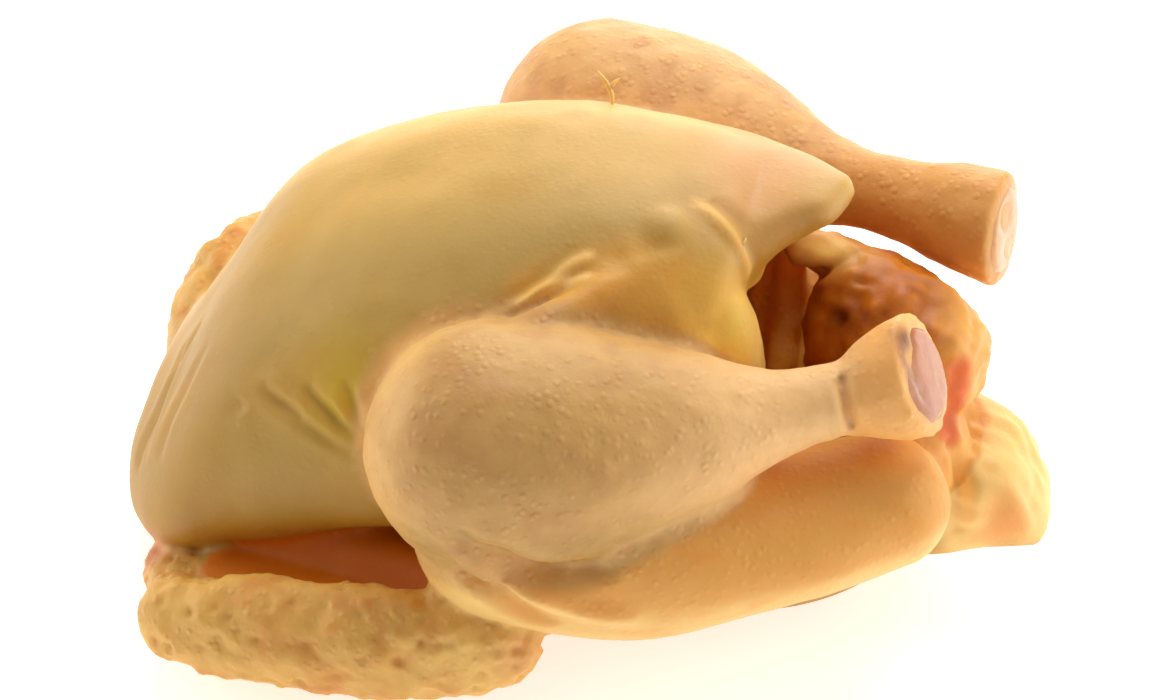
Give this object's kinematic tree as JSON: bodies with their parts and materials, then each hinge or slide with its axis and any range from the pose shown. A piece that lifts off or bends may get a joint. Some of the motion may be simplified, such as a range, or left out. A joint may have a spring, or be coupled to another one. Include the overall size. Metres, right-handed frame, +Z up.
{
  "type": "whole raw chicken",
  "caption": "Whole raw oven-ready chicken lying on its back, breast up, with loose drumsticks, folded wings, tail and an open body cavity.",
  "frame": {"origin": "middle of the footprint, at the level of the surface that the bird lies on", "axes": "+X along the backbone from the neck end to the tail, +Y towards the bird's left side, +Z up through the breast"},
  "size_m": [0.2228, 0.1798, 0.1086],
  "materials": {
    "raw_skin": "moist raw chicken skin, yellow over the breast and pinkish beige over the legs, with a soft gloss"
  },
  "bodies": {
    "root": {"whole_chicken": "raw_skin"}
  },
  "joints": []
}
